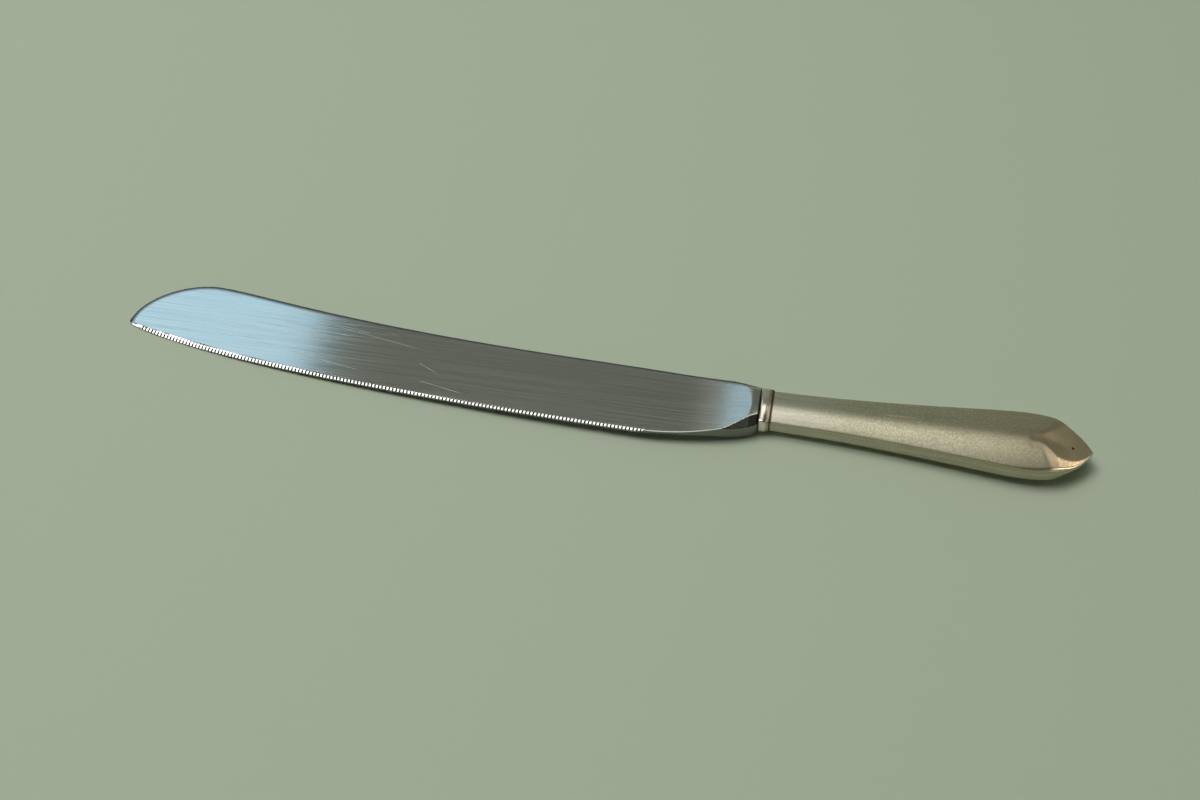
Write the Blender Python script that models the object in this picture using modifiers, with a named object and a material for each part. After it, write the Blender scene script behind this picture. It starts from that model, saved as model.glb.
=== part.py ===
"""Hollow-handle cake knife, at rest on a table, in metres.

The knife lies on its side along X: tip toward -X, handle toward +X, cutting edge toward -Y.
Each piece is modelled about the knife's own axis, with x = 0 at the shoulder where the bolster
meets the handle. An empty then lays the whole knife on its rest surface.
"""

import math

import bmesh
import bpy
import numpy as np
from mathutils import Vector
from mathutils.geometry import interpolate_bezier

# Blade outline: lengths from the shoulder or the tip, heights from the knife's axis
BLADE_LENGTH = 0.2136
TIP_HEIGHT = 0.0009
HUMP_SETBACK = 0.0253
HUMP_HEIGHT = 0.0198
WAIST_SETBACK = 0.060
WAIST_HEIGHT = 0.0103
WAIST_SLOPE = 0.0185
HEEL_SETBACK = 0.038
EDGE_DROP = 0.0149
TIP_BACK = 0.0038
TIP_DROP = 0.0021
TIP_WIDTH = 0.0006

# Blade section
SPINE_THICKNESS = 0.0018
EDGE_THICKNESS = 0.0012
HOLLOW_RADIUS = 0.104
HOLLOW_SETBACK = 0.029

# Bolster, where the blade swells to meet the handle
BOLSTER_RISE = 0.0002
BOLSTER_THICKNESS = 0.0086
BOLSTER_CROWN = 0.0005
BOLSTER_CORNER = 0.0003
BEVEL_LENGTH = 0.011
BEVEL_WIDTH = 0.0022
BEVEL_SLOPE = math.radians(43)

# Flutes of the cutting edge
FLUTE_PITCH = 0.00121
FLUTE_DEPTH = 0.00028
FLUTE_SLOPE = math.radians(35)
FLUTE_LEAN = math.radians(14)
FLUTES_FROM_TIP = 0.0045
FLUTES_FROM_SHOULDER = 0.0355
FLUTE_RUN_OUT = 0.003
EDGE_LAND = 0.0001

# Tang
TANG_LENGTH = 0.062
TANG_ROOT_WIDTH = 0.0076
TANG_ROOT_THICKNESS = 0.0044
TANG_END_WIDTH = 0.0040
TANG_END_THICKNESS = 0.0026
TANG_CROWN_RADIUS = 0.020
TANG_CORNER = 0.0004

# Handle, from the shoulder to its point
HANDLE_LENGTH = 0.1044
NECK_WIDTH = 0.0124
NECK_THICKNESS = 0.0081
NECK_CROWN_RADIUS = 0.0125
POMMEL_WIDTH = 0.0218
POMMEL_THICKNESS = 0.0110
POMMEL_CROWN_RADIUS = 0.023
POMMEL_SETBACK = 0.020
HANDLE_CORNER = 0.0004
POINT_WIDTH = 0.0006
POINT_THICKNESS = 0.0020
POINT_HALF_ANGLE = math.radians(48)
FACET_RADIUS = 0.065
FACET_SLOPE = 0.06
SHELL_WALL = 0.0007
SEAM_THICKNESS = 0.0003
VENT_DIAMETER = 0.0009
VENT_SETBACK = 0.0063

# Collar and filling
COLLAR_WIDTH = 0.0037
COLLAR_RISE = 0.0004
COLLAR_RIM = 0.00015
CEMENT_SETBACK = 0.012

# Reach of the outlines' curve handles, as a share of the span that they bend
SHOULDER_REACH = 0.35
SHOULDER_LIFT = 0.70
WAIST_REACH = 0.70
SWEEP_REACH = 0.66
CREST_REACH = 0.11
DROP_REACH = 0.48
TIP_REACH = 0.50
TIP_EASE = 0.50
TIP_LIFT = 0.20
EDGE_REACH = 0.255
EDGE_FALL = 0.94
HEEL_EASE = 0.05
HEEL_REACH = 0.68
BOLSTER_REACH = 0.10
BOLSTER_BULGE = 0.45
NECK_REACH = 0.53
SWELL_REACH = 0.15
POMMEL_REACH = 0.77

# Clearance between pieces that touch
FIT_GAP = 0.0002

# How far a cutter stands clear of what it cuts
CLEAR = 0.002

# Steps of the curved stretches
CORNER_STEPS = 2
CROWN_STEPS = 10
ARC_STEPS = 12
BEAD_STEPS = 8
FLUTE_STEPS = 4
CURVE_SAMPLES = 200

SHARP_ANGLE = math.radians(30)
MERGE_DISTANCE = 0.00001

# Values that follow from the sizes above
NECK_HALF_WIDTH = NECK_WIDTH / 2
BOLSTER_HALF_WIDTH = NECK_HALF_WIDTH + FIT_GAP + COLLAR_RISE + BOLSTER_RISE
POMMEL_X = HANDLE_LENGTH - POMMEL_SETBACK
FACE_TILT = (SPINE_THICKNESS - EDGE_THICKNESS) / 2 / (WAIST_HEIGHT + EDGE_DROP)
FACE_RUN = FACE_TILT * (HUMP_HEIGHT - WAIST_HEIGHT) / (BLADE_LENGTH - HUMP_SETBACK - WAIST_SETBACK)


def clear_scene():
    for obj in list(bpy.data.objects):
        bpy.data.objects.remove(obj, do_unlink=True)


def new_collection(name):
    collection = bpy.data.collections.new(name)
    bpy.context.scene.collection.children.link(collection)
    return collection


def plain_material(name, colour, roughness, metallic=1.0):
    material = bpy.data.materials.new(name)
    material.use_nodes = True
    shader = material.node_tree.nodes["Principled BSDF"]
    shader.inputs["Base Color"].default_value = (*colour, 1.0)
    shader.inputs["Roughness"].default_value = roughness
    shader.inputs["Metallic"].default_value = metallic
    return material


def loft(name, loops):
    """A solid through closed loops that have the same number of points, capped at both ends."""
    bm = bmesh.new()
    rings = [[bm.verts.new(point) for point in loop] for loop in loops]
    for ring, following in zip(rings, rings[1:]):
        for i in range(len(ring)):
            bm.faces.new((ring[i - 1], ring[i], following[i], following[i - 1]))
    bm.faces.new(rings[0])
    bm.faces.new(rings[-1])
    bmesh.ops.recalc_face_normals(bm, faces=bm.faces)
    mesh = bpy.data.meshes.new(name)
    bm.to_mesh(mesh)
    bm.free()
    mesh.shade_smooth()
    mesh.set_sharp_from_angle(angle=SHARP_ANGLE)
    return bpy.data.objects.new(name, mesh)


def as_part(obj, material):
    PARTS.objects.link(obj)
    obj.parent = REST
    obj.data.materials.append(material)
    return obj


def as_cutter(obj):
    CUTTERS.objects.link(obj)
    obj.parent = REST
    obj.hide_render = True
    obj.display_type = "WIRE"
    return obj


def boolean(obj, operation, other):
    modifier = obj.modifiers.new(f"{operation.lower()} {other.name}", "BOOLEAN")
    modifier.operation = operation
    modifier.solver = "EXACT"
    modifier.object = other


def mirror_upper_half(obj):
    """Keeps the half above the knife's middle plane and mirrors it below."""
    modifier = obj.modifiers.new("mirror", "MIRROR")
    modifier.use_axis = (False, False, True)
    modifier.use_bisect_axis = (False, False, True)
    modifier.merge_threshold = MERGE_DISTANCE
    modifier.bisect_threshold = MERGE_DISTANCE


def block(name, low, high):
    """A box cutter between two corners."""
    corners = [(low[0], low[1]), (high[0], low[1]), (high[0], high[1]), (low[0], high[1])]
    return as_cutter(loft(name, [[(x, y, z) for x, y in corners] for z in (low[2], high[2])]))


def curve_through(*spans):
    """Sample points along cubic spans, each given as start, first handle, second handle and end."""
    points = []
    for span in spans:
        samples = interpolate_bezier(*(Vector((x, y, 0)) for x, y in span), CURVE_SAMPLES)
        points += [(p.x, p.y) for p in samples]
    return np.array(points)


def height_at(curve, x):
    order = np.argsort(curve[:, 0], kind="stable")
    return float(np.interp(x, curve[order, 0], curve[order, 1]))


def section(x, middle, half_width, half_thickness, crown_radius, corner):
    """A loop across the knife: straight side walls, small round corners and arched faces."""
    corner = min(corner, half_width / 2)
    arch = crown_radius - corner
    wall_y = half_width - corner
    arch_z = half_thickness - crown_radius
    wall_z = arch_z + math.sqrt(max(arch**2 - wall_y**2, 0))
    turn = math.atan2(wall_z - arch_z, wall_y)
    upper = []
    for angle in np.linspace(0, turn, CORNER_STEPS + 1):
        upper.append((wall_y + corner * math.cos(angle), wall_z + corner * math.sin(angle)))
    for angle in np.linspace(turn, math.pi - turn, CROWN_STEPS + 1)[1:-1]:
        upper.append((crown_radius * math.cos(angle), arch_z + crown_radius * math.sin(angle)))
    for angle in np.linspace(math.pi - turn, math.pi, CORNER_STEPS + 1):
        upper.append((corner * math.cos(angle) - wall_y, wall_z + corner * math.sin(angle)))
    lower = [(-y, -z) for y, z in upper]
    return [(x, middle + y, z) for y, z in upper + lower]


def spine_curve():
    """The blade's back: shoulder, waist, hump and down to the tip."""
    shoulder = (0, BOLSTER_HALF_WIDTH)
    waist = (-WAIST_SETBACK, WAIST_HEIGHT)
    hump = (HUMP_SETBACK - BLADE_LENGTH, HUMP_HEIGHT)
    tip = (-BLADE_LENGTH, TIP_HEIGHT)
    ease = WAIST_REACH * WAIST_SETBACK
    sweep = SWEEP_REACH * (waist[0] - hump[0])
    crest = CREST_REACH * (waist[0] - hump[0])
    return curve_through(
        (
            shoulder,
            (-SHOULDER_REACH * WAIST_SETBACK, shoulder[1] + SHOULDER_LIFT * (waist[1] - shoulder[1])),
            (waist[0] + ease, waist[1] - ease * WAIST_SLOPE),
            waist,
        ),
        (waist, (waist[0] - sweep, waist[1] + sweep * WAIST_SLOPE), (hump[0] + crest, hump[1]), hump),
        (
            hump,
            (hump[0] - DROP_REACH * HUMP_SETBACK, hump[1]),
            (tip[0], tip[1] + TIP_REACH * (hump[1] - tip[1])),
            tip,
        ),
    )


def edge_curve():
    """The cutting edge: round the tip, down to the heel and in to the shoulder."""
    tip = (-BLADE_LENGTH, TIP_HEIGHT)
    start = (TIP_BACK - BLADE_LENGTH, TIP_HEIGHT - TIP_DROP)
    heel = (-HEEL_SETBACK, -EDGE_DROP)
    shoulder = (0, -BOLSTER_HALF_WIDTH)
    run = heel[0] - start[0]
    fall = start[1] - heel[1]
    return curve_through(
        (
            tip,
            (tip[0], tip[1] - TIP_REACH * TIP_DROP),
            (start[0] - TIP_EASE * TIP_BACK, start[1] + TIP_LIFT * TIP_DROP),
            start,
        ),
        (
            start,
            (start[0] + EDGE_REACH * run, start[1] - EDGE_FALL * fall),
            (heel[0] - HEEL_EASE * run, heel[1]),
            heel,
        ),
        (
            heel,
            (-HEEL_REACH * HEEL_SETBACK, heel[1]),
            (-BOLSTER_REACH * HEEL_SETBACK, shoulder[1] - BOLSTER_BULGE * (shoulder[1] - heel[1])),
            shoulder,
        ),
    )


def bolster_crown(half_width):
    """Radius of the arched faces that the bolster has at this half width."""
    wall_y = half_width - min(BOLSTER_CORNER, half_width / 2)
    return (wall_y**2 + BOLSTER_CROWN**2) / 2 / BOLSTER_CROWN + BOLSTER_CORNER


def face_height(x):
    """Height of the blade's upper face on the knife's axis: flat, then hollow up to the bolster."""
    flat = (SPINE_THICKNESS + EDGE_THICKNESS) / 4 + FACE_TILT * (EDGE_DROP - WAIST_HEIGHT) / 2
    along = x + HOLLOW_SETBACK
    if along <= 0:
        return flat + FACE_RUN * along
    return flat + FACE_RUN * along + HOLLOW_RADIUS - math.sqrt(HOLLOW_RADIUS**2 - along**2)


def profile_cutter(name, profile, half_reach, tilt):
    """A cutter with one outline in XZ, drawn out along Y, whose height changes by tilt with y."""
    loops = [[(x, y, z + tilt * y) for x, z in profile] for y in (-half_reach, half_reach)]
    return as_cutter(loft(name, loops))


def grinding_wheel():
    """What the grinder takes off above the blade's upper face."""
    top = BOLSTER_THICKNESS
    hollow_end = math.sqrt(HOLLOW_RADIUS**2 - (HOLLOW_RADIUS - BOLSTER_THICKNESS) ** 2)
    hollow = np.linspace(0, hollow_end, ARC_STEPS + 1) - HOLLOW_SETBACK
    start = -BLADE_LENGTH - CLEAR
    profile = [(start, face_height(start))] + [(x, face_height(x)) for x in hollow]
    profile += [(hollow[-1], top + CLEAR), (start, top + CLEAR)]
    return profile_cutter("grinding_wheel", profile, HUMP_HEIGHT + EDGE_DROP, FACE_TILT)


def bevel_cutter(name, outline, side):
    """What is filed off one upper corner of the bolster: a flat that widens up to the shoulder."""
    slope = math.tan(BEVEL_SLOPE)
    ridge_y = BOLSTER_HALF_WIDTH - BEVEL_WIDTH
    crown_radius = bolster_crown(BOLSTER_HALF_WIDTH)
    ridge_z = BOLSTER_THICKNESS / 2 - crown_radius + math.sqrt(crown_radius**2 - ridge_y**2)
    far_y = side * height_at(outline, -BEVEL_LENGTH)
    far_z = face_height(-BEVEL_LENGTH) + FACE_TILT * side * far_y
    climb = (far_z - ridge_z + (far_y - ridge_y) * slope) / BEVEL_LENGTH
    top = 4 * BOLSTER_THICKNESS
    loops = []
    for x in (-2 * BEVEL_LENGTH, CLEAR):
        middle_z = ridge_z + ridge_y * slope - climb * x
        outer_y = 2 * BOLSTER_HALF_WIDTH
        outer_z = middle_z - outer_y * slope
        loops.append([(x, 0, middle_z), (x, side * outer_y, outer_z), (x, side * outer_y, top), (x, 0, top)])
    return as_cutter(loft(name, loops))


def flute_cutter(edge):
    """What is ground away above the fluted cutting edge: a row of scallops between two plain run-outs."""
    steps = np.hypot(*np.diff(edge, axis=0).T)
    distance = np.concatenate([[0], np.cumsum(steps)])
    first = float(np.interp(FLUTES_FROM_TIP - BLADE_LENGTH, edge[:, 0], distance))
    room = float(np.interp(-FLUTES_FROM_SHOULDER, edge[:, 0], distance)) - first
    count = round(room / FLUTE_PITCH)
    radius = FLUTE_DEPTH / 2 + FLUTE_PITCH**2 / 8 / FLUTE_DEPTH
    across = np.linspace(-0.5, 0.5, FLUTE_STEPS + 1)[:-1] * FLUTE_PITCH
    scallop = np.sqrt(radius**2 - across**2) - (radius - FLUTE_DEPTH)
    places = [(first - FLUTE_RUN_OUT, 0.0, EDGE_THICKNESS + CLEAR)]
    for i in range(count):
        start = first + (i + 0.5) * FLUTE_PITCH
        places += [(start + a, depth, 0.0) for a, depth in zip(across, scallop)]
    places.append((first + count * FLUTE_PITCH, 0.0, 0.0))
    places.append((first + count * FLUTE_PITCH + FLUTE_RUN_OUT, 0.0, EDGE_THICKNESS + CLEAR))
    inner = (EDGE_THICKNESS + 2 * CLEAR) / math.tan(FLUTE_SLOPE)
    loops = []
    for place, depth, lift in places:
        x = float(np.interp(place, distance, edge[:, 0]))
        y = float(np.interp(place, distance, edge[:, 1]))
        ahead = float(np.interp(place + FLUTE_PITCH, distance, edge[:, 0])) - x
        rise = float(np.interp(place + FLUTE_PITCH, distance, edge[:, 1])) - y
        inward = Vector((-rise, ahead)).normalized()
        inward = Vector(
            (
                inward.x * math.cos(FLUTE_LEAN) + inward.y * math.sin(FLUTE_LEAN),
                inward.y * math.cos(FLUTE_LEAN) - inward.x * math.sin(FLUTE_LEAN),
            )
        )
        underside = -face_height(x) - FACE_TILT * y
        floor = underside + EDGE_LAND + lift - depth / math.cos(FLUTE_SLOPE)
        high = EDGE_THICKNESS + 3 * CLEAR
        loop = []
        for reach in (-CLEAR, inner):
            loop.append((x + inward.x * reach, y + inward.y * reach, floor + reach * math.tan(FLUTE_SLOPE)))
        for reach in (inner, -CLEAR):
            loop.append((x + inward.x * reach, y + inward.y * reach, high))
        loops.append(loop)
    return as_cutter(loft("flute_cutter", loops))


def blade_section(x, spine, edge):
    back = height_at(spine, x)
    front = height_at(edge, x)
    half_width = max((back - front) / 2, TIP_WIDTH / 2)
    crown_radius = bolster_crown(half_width)
    return section(x, (back + front) / 2, half_width, BOLSTER_THICKNESS / 2, crown_radius, BOLSTER_CORNER)


def tang_section(x, share, grow):
    width = TANG_ROOT_WIDTH + share * (TANG_END_WIDTH - TANG_ROOT_WIDTH)
    thickness = TANG_ROOT_THICKNESS + share * (TANG_END_THICKNESS - TANG_ROOT_THICKNESS)
    crown_radius = TANG_CROWN_RADIUS + grow
    return section(x, 0, width / 2 + grow, thickness / 2 + grow, crown_radius, TANG_CORNER + grow)


def make_blade(material):
    """Blade, bolster and tang, which are one forging."""
    spine = spine_curve()
    edge = edge_curve()
    turn = np.linspace(0, math.pi / 2, ARC_STEPS + 1)
    nose = list(HUMP_SETBACK * (1 - np.cos(turn)) - BLADE_LENGTH)
    flat = list(np.linspace(HUMP_SETBACK - BLADE_LENGTH, -HEEL_SETBACK, 2 * ARC_STEPS + 1)[1:])
    bolster = list(np.linspace(-HEEL_SETBACK, 0, ARC_STEPS + 1)[1:])
    loops = [blade_section(x, spine, edge) for x in nose + flat + bolster]
    loops += [tang_section(0, 0, 0), tang_section(TANG_LENGTH, 1, 0)]
    blade = as_part(loft("blade", loops), material)
    boolean(blade, "DIFFERENCE", grinding_wheel())
    mirror_upper_half(blade)
    boolean(blade, "DIFFERENCE", bevel_cutter("front_bevel", edge, -1))
    boolean(blade, "DIFFERENCE", bevel_cutter("back_bevel", spine, 1))
    boolean(blade, "DIFFERENCE", flute_cutter(edge))
    return blade


def point_x(inset):
    """Where the handle's point lies once its walls are drawn in by inset."""
    return HANDLE_LENGTH - inset / math.sin(POINT_HALF_ANGLE)


def handle_curve(inset):
    """Half width of the handle along its length, drawn in by inset all round."""
    neck = NECK_HALF_WIDTH - inset
    widest = POMMEL_WIDTH / 2 - inset
    point = (point_x(inset), 0)
    return curve_through(
        (
            (0, neck),
            (NECK_REACH * POMMEL_X, neck),
            (POMMEL_X - SWELL_REACH * POMMEL_X, widest),
            (POMMEL_X, widest),
        ),
        ((POMMEL_X, widest), (POMMEL_X + POMMEL_REACH * POMMEL_SETBACK, widest), point, point),
    )


def handle_section(x, curve, inset):
    half_width = max(height_at(curve, x), POINT_WIDTH / 2)
    narrow = NECK_HALF_WIDTH - inset
    swell = (height_at(curve, min(x, POMMEL_X)) - narrow) / (POMMEL_WIDTH / 2 - NECK_HALF_WIDTH)
    thickness = NECK_THICKNESS + swell * (POMMEL_THICKNESS - NECK_THICKNESS)
    crown_radius = NECK_CROWN_RADIUS + swell * (POMMEL_CROWN_RADIUS - NECK_CROWN_RADIUS)
    corner = max(HANDLE_CORNER - inset, HANDLE_CORNER / 2)
    return section(x, 0, half_width, thickness / 2 - inset, crown_radius - inset, corner)


def facet_cutter(name, inset):
    """What is scooped off the crowned face toward the handle's point."""
    depth = POMMEL_THICKNESS
    back = np.linspace(-CLEAR, math.sqrt(2 * FACET_RADIUS * depth), ARC_STEPS + 1)
    profile = []
    for along in back:
        hollow = FACET_RADIUS - math.sqrt(FACET_RADIUS**2 - along**2)
        profile.append((HANDLE_LENGTH - along, POINT_THICKNESS / 2 + FACET_SLOPE * along + hollow - inset))
    profile += [(HANDLE_LENGTH - back[-1], 2 * depth), (HANDLE_LENGTH - back[0], 2 * depth)]
    return profile_cutter(name, profile, POMMEL_WIDTH, 0)


def handle_body(name, inset, start, end):
    """The handle's solid form from start to end, drawn in by inset, with its two scooped facets."""
    curve = handle_curve(inset)
    stem = np.linspace(start, POMMEL_X, 2 * ARC_STEPS)
    turned = POMMEL_X + (end - POMMEL_X) * np.sin(np.linspace(0, math.pi / 2, ARC_STEPS + 1)[1:])
    body = loft(name, [handle_section(x, curve, inset) for x in [*stem, *turned]])
    boolean(body, "DIFFERENCE", facet_cutter(f"{name}_facet", inset))
    mirror_upper_half(body)
    return body


def make_handle_shell(name, material, cavity, sign):
    """One stamped half of the handle: sign is 1 for the upper half and -1 for the lower."""
    shell = as_part(handle_body(name, 0, FIT_GAP, point_x(0)), material)
    seam = sign * SEAM_THICKNESS / 2
    far = sign * POMMEL_THICKNESS
    low = (-CLEAR, -POMMEL_WIDTH, min(seam, far))
    high = (HANDLE_LENGTH + CLEAR, POMMEL_WIDTH, max(seam, far))
    boolean(shell, "INTERSECT", block(f"{name}_half", low, high))
    boolean(shell, "DIFFERENCE", cavity)
    return shell


def vent_drill():
    bm = bmesh.new()
    bmesh.ops.create_cone(
        bm,
        cap_ends=True,
        segments=ARC_STEPS,
        radius1=VENT_DIAMETER / 2,
        radius2=VENT_DIAMETER / 2,
        depth=POMMEL_THICKNESS,
    )
    bmesh.ops.translate(bm, verts=bm.verts, vec=(HANDLE_LENGTH - VENT_SETBACK, 0, POMMEL_THICKNESS / 2))
    mesh = bpy.data.meshes.new("vent_drill")
    bm.to_mesh(mesh)
    bm.free()
    return as_cutter(bpy.data.objects.new("vent_drill", mesh))


def make_seam(material, cavity):
    """The band of solder between the rims of the two half shells."""
    seam = as_part(handle_body("seam_solder", 0, FIT_GAP, point_x(0)), material)
    low = (-CLEAR, -POMMEL_WIDTH, -SEAM_THICKNESS / 2)
    high = (HANDLE_LENGTH + CLEAR, POMMEL_WIDTH, SEAM_THICKNESS / 2)
    boolean(seam, "INTERSECT", block("seam_layer", low, high))
    boolean(seam, "DIFFERENCE", cavity)
    return seam


def grown_neck(x, curve, grow):
    """The handle's section at its mouth, grown all round."""
    half_width = height_at(curve, FIT_GAP + COLLAR_WIDTH) + grow
    return section(
        x, 0, half_width, NECK_THICKNESS / 2 + grow, NECK_CROWN_RADIUS + grow, HANDLE_CORNER + grow
    )


def make_collar(material):
    """Half-round bead round the handle's mouth."""
    curve = handle_curve(0)
    loops = []
    for angle in np.linspace(0, math.pi, BEAD_STEPS + 1):
        x = FIT_GAP + COLLAR_WIDTH / 2 * (1 - math.cos(angle))
        rise = COLLAR_RIM + (COLLAR_RISE - COLLAR_RIM) * math.sin(angle)
        loops.append(grown_neck(x, curve, FIT_GAP + rise))
    collar = as_part(loft("collar", loops), material)
    ends = (-CLEAR, FIT_GAP + COLLAR_WIDTH + CLEAR)
    bore = as_cutter(loft("collar_bore", [grown_neck(x, curve, FIT_GAP) for x in ends]))
    boolean(collar, "DIFFERENCE", bore)
    return collar


def make_cement(material):
    """The filling of the handle, with the tang's socket in it."""
    inset = SHELL_WALL + FIT_GAP
    core = as_part(handle_body("cement_core", inset, FIT_GAP, HANDLE_LENGTH - CEMENT_SETBACK), material)
    socket_end = TANG_LENGTH + FIT_GAP
    socket = [tang_section(-CLEAR, 0, FIT_GAP), tang_section(socket_end, 1, FIT_GAP)]
    boolean(core, "DIFFERENCE", as_cutter(loft("tang_socket", socket)))
    return core


def rest_on_table(parts):
    """Tilts the knife until its tip and the belly of its handle touch one plane, then centres it there."""
    bpy.context.view_layer.update()
    graph = bpy.context.evaluated_depsgraph_get()
    points = [v.co.copy() for part in parts for v in part.evaluated_get(graph).data.vertices]
    tip = min(points, key=lambda p: p.x + p.z)
    belly = max((tip.z - p.z) / (p.x - tip.x) for p in points if p.x > 0)
    REST.rotation_euler.y = -math.atan(belly)
    turned = np.array([REST.rotation_euler.to_matrix() @ p for p in points])
    low = turned.min(axis=0)
    high = turned.max(axis=0)
    REST.location = (-(low[0] + high[0]) / 2, -(low[1] + high[1]) / 2, -low[2])
    bpy.context.view_layer.update()


clear_scene()
PARTS = new_collection("cake_knife")
CUTTERS = new_collection("cutters")
REST = bpy.data.objects.new("knife_at_rest", None)
PARTS.objects.link(REST)

steel = plain_material("blade_steel", (0.60, 0.61, 0.60), 0.30)
upper_silver = plain_material("upper_shell_silver", (0.73, 0.70, 0.60), 0.38)
lower_silver = plain_material("lower_shell_silver", (0.72, 0.69, 0.59), 0.40)
solder = plain_material("seam_solder", (0.66, 0.64, 0.57), 0.42)
bead_silver = plain_material("collar_silver", (0.82, 0.79, 0.72), 0.25)
cement = plain_material("cement", (0.30, 0.26, 0.22), 0.9, metallic=0.0)

cavity = as_cutter(handle_body("handle_cavity", SHELL_WALL, -CLEAR, point_x(SHELL_WALL)))
upper = make_handle_shell("upper_handle_shell", upper_silver, cavity, 1)
boolean(upper, "DIFFERENCE", vent_drill())
lower = make_handle_shell("lower_handle_shell", lower_silver, cavity, -1)
rest_on_table(
    [
        make_blade(steel),
        upper,
        lower,
        make_seam(solder, cavity),
        make_collar(bead_silver),
        make_cement(cement),
    ]
)
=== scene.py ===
import math

import bpy
import numpy as np
from mathutils import Matrix, Vector, kdtree


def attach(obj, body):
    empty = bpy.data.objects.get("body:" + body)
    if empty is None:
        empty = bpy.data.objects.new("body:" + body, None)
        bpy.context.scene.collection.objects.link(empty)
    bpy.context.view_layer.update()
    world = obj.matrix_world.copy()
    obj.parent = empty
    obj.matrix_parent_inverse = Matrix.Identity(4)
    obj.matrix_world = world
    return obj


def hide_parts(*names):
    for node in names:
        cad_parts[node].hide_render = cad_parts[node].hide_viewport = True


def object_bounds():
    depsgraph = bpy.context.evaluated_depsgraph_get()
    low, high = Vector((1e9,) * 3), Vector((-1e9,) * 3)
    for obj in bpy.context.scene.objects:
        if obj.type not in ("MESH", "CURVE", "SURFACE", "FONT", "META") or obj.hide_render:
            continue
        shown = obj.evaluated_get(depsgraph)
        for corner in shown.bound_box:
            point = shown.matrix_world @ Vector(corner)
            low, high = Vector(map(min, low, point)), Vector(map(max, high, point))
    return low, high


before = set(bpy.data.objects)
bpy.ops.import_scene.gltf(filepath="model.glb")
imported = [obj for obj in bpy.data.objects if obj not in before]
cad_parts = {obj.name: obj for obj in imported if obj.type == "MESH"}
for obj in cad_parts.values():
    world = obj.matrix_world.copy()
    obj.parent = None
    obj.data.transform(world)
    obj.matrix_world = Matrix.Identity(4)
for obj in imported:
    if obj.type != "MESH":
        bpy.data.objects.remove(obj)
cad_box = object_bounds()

# Sizes of the knife, as its CAD has them, in metres and radians
BLADE_LENGTH = 0.2136
TIP_HEIGHT = 0.0009
TIP_BACK = 0.0038
TIP_DROP = 0.0021
TIP_WIDTH = 0.0006
HUMP_SETBACK = 0.0253
HUMP_HEIGHT = 0.0198
WAIST_SETBACK = 0.060
WAIST_HEIGHT = 0.0103
WAIST_SLOPE = 0.0185
HEEL_SETBACK = 0.038
EDGE_DROP = 0.0149
SPINE_THICKNESS = 0.0018
EDGE_THICKNESS = 0.0012
HOLLOW_RADIUS = 0.104
HOLLOW_SETBACK = 0.029
BOLSTER_THICKNESS = 0.0086
BOLSTER_CROWN = 0.0005
BOLSTER_CORNER = 0.0003
BOLSTER_RISE = 0.0002
BEVEL_LENGTH = 0.011
BEVEL_WIDTH = 0.0022
BEVEL_SLOPE = math.radians(43)
FLUTE_PITCH = 0.00121
FLUTE_SLOPE = math.radians(35)
FLUTE_LEAN = math.radians(14)
FLUTES_FROM_TIP = 0.0045
FLUTES_FROM_SHOULDER = 0.0355
TANG_LENGTH = 0.062
TANG_ROOT = (0.0076, 0.0044)
TANG_END = (0.0040, 0.0026)
HANDLE_LENGTH = 0.1044
NECK_WIDTH = 0.0124
NECK_THICKNESS = 0.0081
NECK_CROWN_RADIUS = 0.0125
HANDLE_CORNER = 0.0004
POMMEL_WIDTH = 0.0218
POMMEL_THICKNESS = 0.0110
POMMEL_SETBACK = 0.020
POINT_WIDTH = 0.0006
POINT_THICKNESS = 0.0020
POINT_HALF_ANGLE = math.radians(48)
FACET_RADIUS = 0.065
FACET_SLOPE = 0.06
SHELL_WALL = 0.0007
SEAM_THICKNESS = 0.0003
VENT_DIAMETER = 0.0009
VENT_SETBACK = 0.0063
COLLAR_WIDTH = 0.0037
COLLAR_RISE = 0.0004
COLLAR_RIM = 0.00015
FIT_GAP = 0.0002
REST_TILT = math.radians(-1.0681)

# How far the curves of the outline reach, as shares of the run or the height that each one spans
SHOULDER_REACH = 0.35
SHOULDER_LIFT = 0.70
WAIST_REACH = 0.70
SWEEP_REACH = 0.66
CREST_REACH = 0.11
DROP_REACH = 0.48
TIP_REACH = 0.50
TIP_EASE = 0.50
TIP_LIFT = 0.20
EDGE_REACH = 0.255
EDGE_FALL = 0.94
HEEL_EASE = 0.05
HEEL_REACH = 0.68
BOLSTER_REACH = 0.10
BOLSTER_BULGE = 0.45
NECK_REACH = 0.53
SWELL_REACH = 0.15
POMMEL_REACH = 0.77

# Finer forms that the CAD leaves plain
SPINE_ROUND = 0.00075
SPINE_ROUND_SHARE = 0.3
STRIP_HEEL = 0.00056
STRIP_SWELL = 0.0012
STRIP_FALL = 0.28
STRIP_TIP_SHARE = 0.5
STRIP_TIP_RUN = 0.012
STRIP_NOSE_LEAST = 0.02
STRIP_NOSE_POWER = 0.4
STRIP_CLOSE = 1.2
NOTCH_HALF = 0.00030
NOTCH_STEEPNESS = 2.3
NOTCH_REACH = 0.0017
NOTCH_GROWTH = -0.35
# Notch depth at which its painted shade is full
NOTCH_SHADE_DEPTH = 0.00012
EDGE_LAND = 0.00012
CORNER_RUN = 0.0012
CORNER_LEAST = 0.00002
CORNER_SHARE = 0.3
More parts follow.
